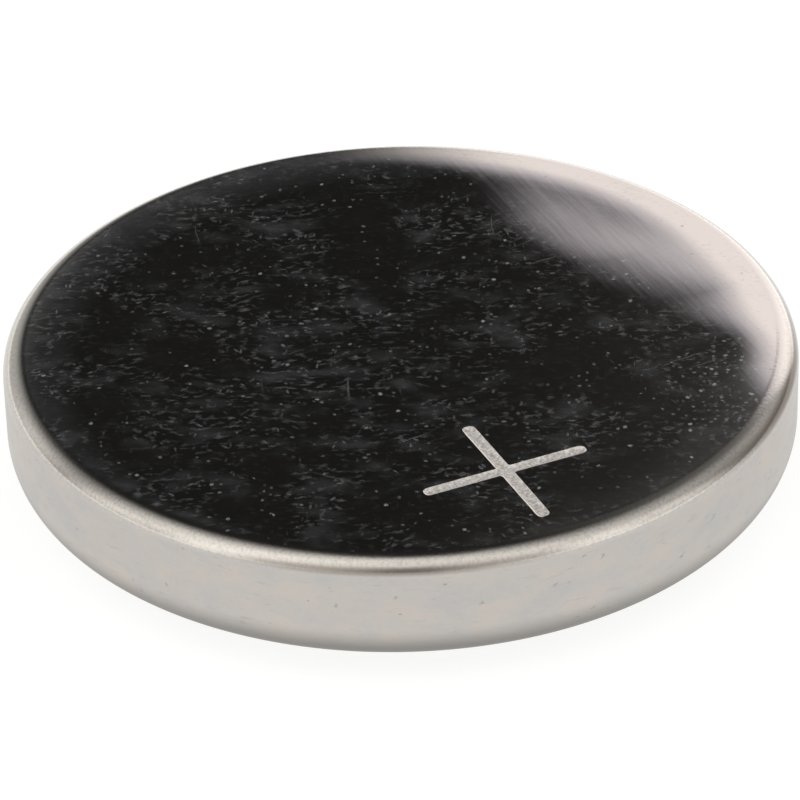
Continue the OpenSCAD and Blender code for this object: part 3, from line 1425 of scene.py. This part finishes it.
@dataclass
class CoinCan:
    """The positive can: mirror face with the plus sign, drawn corner, side wall and the lip rolled over the seal.

    Attributes:
        finish: Finish of the can.
        mark_finish: Finish of the sign's groove.
        mark: The plus sign.
        radius: Outer radius.
        height: Height of the positive face.
        sheet: Thickness of the steel.
        corner: Outer radius of the drawn corner.
        roll_centre: Radius and height of the centre of the lip's roll.
        roll: Outer radius of that roll.
        sweep: Degrees through which the lip is rolled inwards.
        dome_start: Radius at which the face begins to fall.
        dome_slope: Slope of that fall at the edge of the face, in degrees.
        edge_start: Radius at which the fall begins to grow.
        edge_slope: What this adds to the slope at the edge of the face, in degrees.
        edge_round: Radius of the corners of the lip's cut edge.
        edge_room: Degrees of the roll that this rounding takes up, outside and inside.
        face_rings: Number of rings between the sign's patch and the edge of the face.
        wall_steps: Number of steps of the straight wall.
        floor_rings: Radii of the rings on the inside of the floor.
        sides: Vertices of a ring.
    """

    finish: PlatedCanSteel = field(default_factory=PlatedCanSteel)
    mark_finish: EtchedMark = field(default_factory=EtchedMark)
    mark: PlusMark = field(default_factory=PlusMark)
    radius: float = 8.0
    height: float = 3.2
    sheet: float = 0.2
    corner: float = 0.45
    roll_centre: tuple[float, float] = ROLL_CENTRE
    roll: float = 0.93
    sweep: float = 75.0
    dome_start: float = 3.6
    dome_slope: float = 1.2
    edge_start: float = 6.45
    edge_slope: float = 3.6
    edge_round: float = 0.05
    edge_room: tuple[float, float] = (3.0, 4.0)
    face_rings: int = 28
    wall_steps: int = 6
    floor_rings: tuple[float, ...] = (5.0, 2.5, 0.6)
    sides: int = 576

    @property
    def face_radius(self) -> float:
        """Radius of the flat face, where the corner begins."""
        return self.radius - self.corner

    def sag(self, r: float) -> float:
        """Gives how far the face has fallen below its middle.

        Args:
            r: Radius at which it is asked, in mm.

        Returns:
            The fall in mm.
        """
        drop = 0.0
        for start, slope in ((self.dome_start, self.dome_slope), (self.edge_start, self.edge_slope)):
            span = self.face_radius - start
            drop += math.tan(math.radians(slope)) * span * (max(r - start, 0.0) / span) ** 3 / 3
        return drop

    def on_face(self, x: float, y: float, depth: float = 0.0) -> Vector:
        """Gives a point of the domed face, or one below it."""
        return Vector((x, y, self.height - self.sag(math.hypot(x, y)) - depth))

    def build(self) -> bpy.types.Object:
        """Builds the can and hangs it in the frame.

        Returns:
            The finished piece.
        """
        mark = self.mark
        cx, cy = mark.centre
        bottom, brow = mark.groove[0][0], mark.brow[-1]

        def outline(grown: float, depth: float = 0.0, share: float = 1.0) -> Callable[[float], Vector]:
            """Gives a ring along the sign's outline, or a smaller copy of it."""
            return lambda turn: self.on_face(
                cx + share * mark.reach(turn, grown) * math.cos(turn),
                cy + share * mark.reach(turn, grown) * math.sin(turn),
                depth,
            )

        def between(share: float) -> Callable[[float], Vector]:
            """Gives a ring part of the way from the sign's brow to its round patch."""
            return lambda turn: self.on_face(
                cx + (mark.reach(turn, brow) * (1 - share) + mark.patch * share) * math.cos(turn),
                cy + (mark.reach(turn, brow) * (1 - share) + mark.patch * share) * math.sin(turn),
            )

        def across(share: float) -> Callable[[float], Vector]:
            """Gives a ring part of the way from the round patch to the edge of the face."""
            reach = mark.patch + (self.face_radius - mark.patch) * share
            return lambda turn: self.on_face(
                cx * (1 - share) + reach * math.cos(turn), cy * (1 - share) + reach * math.sin(turn)
            )

        centre = self.on_face(cx, cy, mark.depth)
        shell = RingShell(self.sides, centre, outline(bottom, mark.depth, share=0.3), CanCoat.FROSTED)
        shell.grow(outline(bottom, mark.depth, share=0.7), CanCoat.FROSTED)
        for grown, depth in mark.groove:
            shell.grow(outline(grown, mark.depth * depth), CanCoat.FROSTED)
        for grown in mark.brow:
            shell.grow(outline(grown))
        for share in mark.steps:
            shell.grow(between(share))
        for step in range(1, self.face_rings + 1):
            shell.grow(across(math.sin(math.pi / 2 * step / self.face_rings)))
        shell.grow_section(self._outer_section())
        shell.grow_section(self._inner_section())
        shell.close(self.height - self.sheet)

        can = finish_mesh(shell.bm, "drawn_can", (self.finish, self.mark_finish))
        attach(can, ROOT)
        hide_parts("can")
        return can

    def _outer_section(self) -> Section:
        """Draws the outside, from the edge of the face to the cut edge of the lip.

        Returns:
            The points of the outside.
        """
        edge = self.height - self.sag(self.face_radius)
        low = self.height - self.corner
        # The corner starts at the slope that the face ends with
        start = 90 - (self.dome_slope + self.edge_slope) * self.corner / (edge - low)
        bend = arc((self.face_radius, low), self.corner, start, 0, steps=26, rise=edge - low)
        drop = low - self.roll_centre[1]
        wall = [(self.radius, low - drop * i / self.wall_steps) for i in range(1, self.wall_steps)]
        lip = arc(self.roll_centre, self.roll, 0, -self.sweep + self.edge_room[0], steps=26)
        return bend + wall + lip

    def _inner_section(self) -> Section:
        """Draws the lip's cut edge and the inside, from the lip to the middle of the can's floor.

        Returns:
            The points of the cut edge and the inside.
        """
        t, e = self.sheet, self.edge_round
        floor, low = self.height - t, self.height - self.corner
        cut = round_edge(self.roll_centre, -self.sweep, self.roll - e, e, start=0)
        cut += round_edge(self.roll_centre, -self.sweep, self.roll - t + e, e, start=90)
        bend = arc(self.roll_centre, self.roll - t, -self.sweep + self.edge_room[1], 0, steps=12)
        top = arc((self.face_radius, low), self.corner - t, 0, 90, steps=8)
        return cut + bend + top + [(radius, floor) for radius in self.floor_rings]


@dataclass
class SealingGasket:
    """The moulded gasket, squeezed between the can and the cap.

    Attributes:
        finish: Its finish.
        outer: Its outer radius, against the can's wall.
        floor: Height at which it meets the inside of the can's floor.
        corner: Radius at which it fills the can's corner.
        skirt_outer: Outer radius of the groove for the cap's skirt.
        skirt_inner: Inner radius of that groove.
        skirt_end: Height of the bottom of the groove, where the skirt ends.
        foot_inner: Inner radius of the foot that stands inside the skirt.
        foot_end: Height at which the foot ends.
        roll_centre: Radius and height of the centre of its roll, which is the lip's.
        roll_outer: Outer radius of that roll, against the lip.
        roll_inner: Inner radius of that roll, against the cap's shoulder.
        shows: Degrees through which it is rolled inwards, 12 more than the lip.
        edge_round: Radius of the outer corner of the edge that shows below the lip.
        edge_room: Degrees of the roll that this rounding takes up.
        sides: Vertices of a ring.
    """

    finish: MouldedGasket = field(default_factory=MouldedGasket)
    outer: float = 7.8
    floor: float = 3.0
    corner: float = 0.25
    skirt_outer: float = SKIRT
    skirt_inner: float = 7.25
    skirt_end: float = SKIRT_END
    foot_inner: float = 6.95
    foot_end: float = 2.05
    roll_centre: tuple[float, float] = ROLL_CENTRE
    roll_outer: float = 0.73
    roll_inner: float = 0.38
    shows: float = 87.0
    edge_round: float = 0.05
    edge_room: float = 4.0
    sides: int = 288

    def build(self) -> bpy.types.Object:
        """Builds the gasket and hangs it in the frame.

        Returns:
            The finished piece.
        """
        middle = (self.outer - self.corner, self.floor - self.corner)
        section = arc(self.roll_centre, self.roll_outer, 0, -self.shows + self.edge_room, steps=20)
        section += round_edge(
            self.roll_centre, -self.shows, self.roll_outer - self.edge_round, self.edge_round, start=0
        )
        section += arc(self.roll_centre, self.roll_inner, -self.shows, 0, steps=16)
        section += [(self.skirt_outer, self.skirt_end), (self.skirt_inner, self.skirt_end)]
        section += [(self.skirt_inner, self.foot_end), (self.foot_inner, self.foot_end), (self.foot_inner, self.floor)]
        section += arc(middle, self.corner, 90, 0, steps=6)
        gasket = finish_mesh(spin_section(section, self.sides, closed=True), "moulded_gasket", (self.finish,))
        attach(gasket, ROOT)
        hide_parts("gasket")
        return gasket


@dataclass
class NegativeCap:
    """The pressed cap: flat terminal face, step, shoulder and the skirt that stands in the gasket.

    Attributes:
        finish: Its finish.
        sheet: Thickness of the steel.
        step: Outer radius of the step.
        step_height: Height of the shoulder above the terminal face.
        corner: Outer radius of the bend between the face and the step.
        step_bend: Outer radius of the bend between the step and the shoulder.
        skirt: Outer radius of the skirt.
        skirt_end: Height at which the skirt ends.
        skirt_ring: Height of a ring part of the way up the skirt.
        roll_centre: Radius and height of the centre of the bend from the shoulder to the skirt.
        roll: Outer radius of that bend.
        face_rings: Radii of the rings of the flat face, inside and out.
        sides: Steps of the full turn.
    """

    finish: PressedCapSteel = field(default_factory=PressedCapSteel)
    sheet: float = 0.2
    step: float = 6.55
    step_height: float = 1.16
    corner: float = 0.3
    step_bend: float = 0.15
    skirt: float = SKIRT
    skirt_end: float = SKIRT_END
    skirt_ring: float = 2.0
    roll_centre: tuple[float, float] = ROLL_CENTRE
    roll: float = 0.38
    face_rings: tuple[float, ...] = (0.0, 1.5, 3.5, 5.2)
    sides: int = 360

    def build(self) -> bpy.types.Object:
        """Builds the cap and hangs it in the frame.

        Returns:
            The finished piece.
        """
        t, face = self.sheet, self.step - self.corner
        bend = (self.step + self.step_bend, self.step_height - self.step_bend)
        outside = [(radius, 0.0) for radius in self.face_rings]
        outside += arc((face, self.corner), self.corner, -90, 0, steps=14)
        outside += arc(bend, self.step_bend, 180, 90, steps=8)
        outside += arc(self.roll_centre, self.roll, -90, 0, steps=14)
        outside += [(self.skirt, self.skirt_ring), (self.skirt, self.skirt_end)]
        inside = [(self.skirt - t, self.skirt_end), (self.skirt - t, self.skirt_ring)]
        inside += arc(self.roll_centre, self.roll - t, 0, -90, steps=8)
        inside += arc(bend, self.step_bend + t, 90, 180, steps=10)
        inside += arc((face, self.corner), self.corner - t, 0, -90, steps=6)
        inside += [(radius, t) for radius in reversed(self.face_rings)]
        cap = finish_mesh(spin_section(outside + inside, self.sides, closed=False), "pressed_cap", (self.finish,))
        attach(cap, ROOT)
        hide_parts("cap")
        return cap


@dataclass
class InnerStack:
    """The parts sealed inside the can. They keep their CAD solids and get their real finishes.

    Attributes:
        finishes: Finish of each CAD node, by the node's name.
    """

    finishes: dict[str, Finish] = field(
        default_factory=lambda: {
            "lithium_anode": LithiumFoil(),
            "separator": NonWovenFilm(),
            "cathode_pellet": PressedOxide(),
            "cathode_ring": StampedRingSteel(),
        }
    )

    def dress(self, nodes: dict[str, bpy.types.Object]) -> list[bpy.types.Object]:
        """Gives each part its finish.

        Args:
            nodes: The frame's CAD nodes by name.

        Returns:
            The dressed nodes.
        """
        for name, finish in self.finishes.items():
            node = nodes[name]
            node.data.materials.clear()
            node.data.materials.append(finish.material())
        return [nodes[name] for name in self.finishes]


# ---------------------------------------------------------------- studio


@dataclass(frozen=True)
class SoftPatch:
    """A round soft light, as the world shows it.

    Attributes:
        azimuth: Its direction in degrees, to the right of the camera's.
        elevation: Its height above the horizon in degrees.
        size: Its angular radius in degrees.
        soft: Half the width of its soft edge in degrees.
        power: Its brightness.
        tint: Its colour.
        frame: Azimuth of the straight upright frame that cuts off its left side, if it has one.
    """

    azimuth: float
    elevation: float
    size: float
    soft: float
    power: float
    tint: str = "#ffffff"
    frame: float | None = None


class Tier(Enum):
    """Heights at which the studio's soft lights stand, as elevations in degrees."""

    TABLE = 8.0
    EYE = 32.0
    BOOM = 56.0


@dataclass
class Studio:
    """Floor, soft lights and camera.

    Attributes:
        floor_finish: Finish of the floor.
        floor_side: Side of the square floor in mm.
        dark: Brightness of the dark ceiling.
        horizon: Brightness of the pale horizon.
        horizon_band: Elevations in degrees between which the horizon turns into the ceiling.
        around: Brightness of the soft lights of each tier, by azimuth in degrees to the right of the camera's.
        lamp_size: Angular radius of these lights in degrees.
        lamp_soft: Half the width of their soft edge in degrees.
        lamp_tint: Their colour.
        window: The window behind the cell, brighter in its middle.
        frame_blur: Half the width of the soft edge at the window's frame, as a sine.
        azimuth: Direction of the camera from the cell, in degrees.
        elevation: Its height above the horizon in degrees.
        roll: Its turn about its own axis in degrees.
        distance: Its distance in mm from the target.
        target: The point it is aimed at, in mm.
        focal_pixels: Its focal length in pixels of the picture.
        target_pixel: Place of the target in the picture, in pixels from the upper left.
        sensor: Width of its sensor in mm.
        view_depth: Nearest and farthest distance that it sees, in m.
    """

    floor_finish: LightTable = field(default_factory=LightTable)
    floor_side: float = 3000.0
    dark: float = 0.016
    horizon: float = 1.04
    horizon_band: tuple[float, float] = (4.5, 2.2)
    around: dict[Tier, dict[float, float]] = field(
        default_factory=lambda: {
            Tier.TABLE: {-140: 0.65, -105: 0.24, -70: 0.68, -35: 0.67, 0: 0.3, 35: 0.43, 70: 0.92, 135: 0.32},
            Tier.EYE: {-105: 0.33, -70: 0.41, -35: 0.43, 35: 0.4, 70: 0.17, 105: 0.29, 135: 0.16},
            Tier.BOOM: {-70: 0.4, -35: 0.5, 0: 0.37, 35: 0.39, 70: 0.29},
        }
    )
    lamp_size: float = 20.0
    lamp_soft: float = 18.0
    lamp_tint: str = "#fffdfa"
    window: tuple[SoftPatch, ...] = (
        SoftPatch(160.2, 12, 23.6, 0.8, 0.66, "#f8f3ff", 179.3),
        SoftPatch(160.2, 12, 22.3, 1.4, 0.72, "#fff5e9", 179.3),
    )
    frame_blur: float = 0.045
    azimuth: float = -24.2
    elevation: float = 32.6625
    roll: float = 1.5174
    distance: float = 99.59
    target: tuple[float, float, float] = (0.0, 0.0, 1.6)
    focal_pixels: float = 4911.8
    target_pixel: tuple[float, float] = (401.857, 400.557)
    sensor: float = 36.0
    view_depth: tuple[float, float] = (0.001, 10.0)

    def build_floor(self) -> bpy.types.Object:
        """Builds the floor under the cell.

        Returns:
            The floor.
        """
        bm = bmesh.new()
        bmesh.ops.create_grid(bm, x_segments=2, y_segments=2, size=self.floor_side / 2)
        floor = finish_mesh(bm, "studio_floor", (self.floor_finish,))
        return floor

    def build_camera(self) -> bpy.types.Object:
        """Builds the camera at the photograph's angle.

        Returns:
            The camera, set as the scene's.
        """
        lens = bpy.data.cameras.new("studio_camera")
        lens.sensor_width = self.sensor
        lens.lens = self.focal_pixels / IMAGE_SIDE * self.sensor
        lens.shift_x = (IMAGE_SIDE / 2 - self.target_pixel[0]) / IMAGE_SIDE
        lens.shift_y = (self.target_pixel[1] - IMAGE_SIDE / 2) / IMAGE_SIDE
        lens.clip_start, lens.clip_end = self.view_depth
        camera = bpy.data.objects.new("studio_camera", lens)
        back = toward(self.azimuth, self.elevation)
        turn = (-back).to_track_quat("-Z", "Y").to_matrix() @ Matrix.Rotation(math.radians(-self.roll), 3, "Z")
        camera.matrix_world = Matrix.Translation((Vector(self.target) + back * self.distance) * MM) @ turn.to_4x4()
        bpy.context.scene.collection.objects.link(camera)
        bpy.context.scene.camera = camera
        return camera

    def build_light(self) -> bpy.types.World:
        """Builds the soft surroundings: a pale horizon, a dark ceiling, the soft lights and the window behind.

        Returns:
            The world, set as the scene's.
        """
        world = bpy.data.worlds.new("soft_studio")
        world.use_nodes = True
        tree = world.node_tree
        tree.nodes.clear()
        place = add_node(tree, "ShaderNodeTexCoord")
        ray = add_node(tree, "ShaderNodeVectorMath", {0: place.outputs["Generated"]}, operation="NORMALIZE").outputs[0]
        height = add_node(tree, "ShaderNodeSeparateXYZ", {"Vector": ray}).outputs["Z"]
        above, below = (math.sin(math.radians(angle)) for angle in self.horizon_band)
        low = add_node(
            tree,
            "ShaderNodeMapRange",
            {"Value": height, "From Min": above, "From Max": below, "To Min": self.dark, "To Max": self.horizon},
            interpolation_type="SMOOTHSTEP",
        ).outputs[0]
        glow = add_node(tree, "ShaderNodeCombineColor", {0: low, 1: low, 2: low}).outputs[0]
        lamps = [
            SoftPatch(side, tier.value, self.lamp_size, self.lamp_soft, power, self.lamp_tint)
            for tier, row in self.around.items()
            for side, power in row.items()
        ]
        for patch in (*lamps, *self.window):
            lit = self._shine(tree, ray, patch)
            glow = add_node(
                tree, "ShaderNodeVectorMath", {0: lit, 1: linear(patch.tint)[:3], 2: glow}, operation="MULTIPLY_ADD"
            ).outputs[0]
        background = add_node(tree, "ShaderNodeBackground", {"Color": glow, "Strength": 1.0})
        add_node(tree, "ShaderNodeOutputWorld", {"Surface": background.outputs[0]})
        bpy.context.scene.world = world
        bpy.context.scene.view_settings.view_transform = "Standard"
        return world

    def _shine(self, tree: bpy.types.NodeTree, ray: Socket, patch: SoftPatch) -> Socket:
        """Draws one soft light in the surroundings.

        Args:
            tree: The world's node tree.
            ray: Direction in which the surroundings are seen.
            patch: The light.

        Returns:
            Its brightness in that direction.
        """
        middle = toward(patch.azimuth + self.azimuth, patch.elevation)
        outer, inner = (math.cos(math.radians(patch.size + side * patch.soft)) for side in (1, -1))
        near = add_node(tree, "ShaderNodeVectorMath", {0: ray, 1: middle}, operation="DOT_PRODUCT").outputs["Value"]
        lit = add_node(
            tree,
            "ShaderNodeMapRange",
            {"Value": near, "From Min": outer, "From Max": inner, "To Max": patch.power},
            interpolation_type="SMOOTHSTEP",
        ).outputs[0]
        if patch.frame is None:
            return lit
        right = toward(patch.frame - 90 + self.azimuth, 0)
        inside = add_node(tree, "ShaderNodeVectorMath", {0: ray, 1: right}, operation="DOT_PRODUCT").outputs["Value"]
        kept = add_node(
            tree,
            "ShaderNodeMapRange",
            {"Value": inside, "From Min": -self.frame_blur, "From Max": self.frame_blur},
            interpolation_type="SMOOTHSTEP",
        ).outputs[0]
        return add_node(tree, "ShaderNodeMath", {0: lit, 1: kept}, operation="MULTIPLY").outputs[0]


def main() -> None:
    """Builds the cell and the studio round it, and reports each piece."""
    logging.basicConfig(level=logging.INFO, format="%(name)s: %(message)s")
    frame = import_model()
    studio = Studio()
    studio.build_camera()
    studio.build_floor()
    studio.build_light()
    shells = [CoinCan().build(), SealingGasket().build(), NegativeCap().build()]
    for piece in shells + InnerStack().dress(frame["nodes"]):
        LOG.info("%s: %d faces", piece.name, len(piece.data.polygons))


if __name__ == "__main__":
    main()
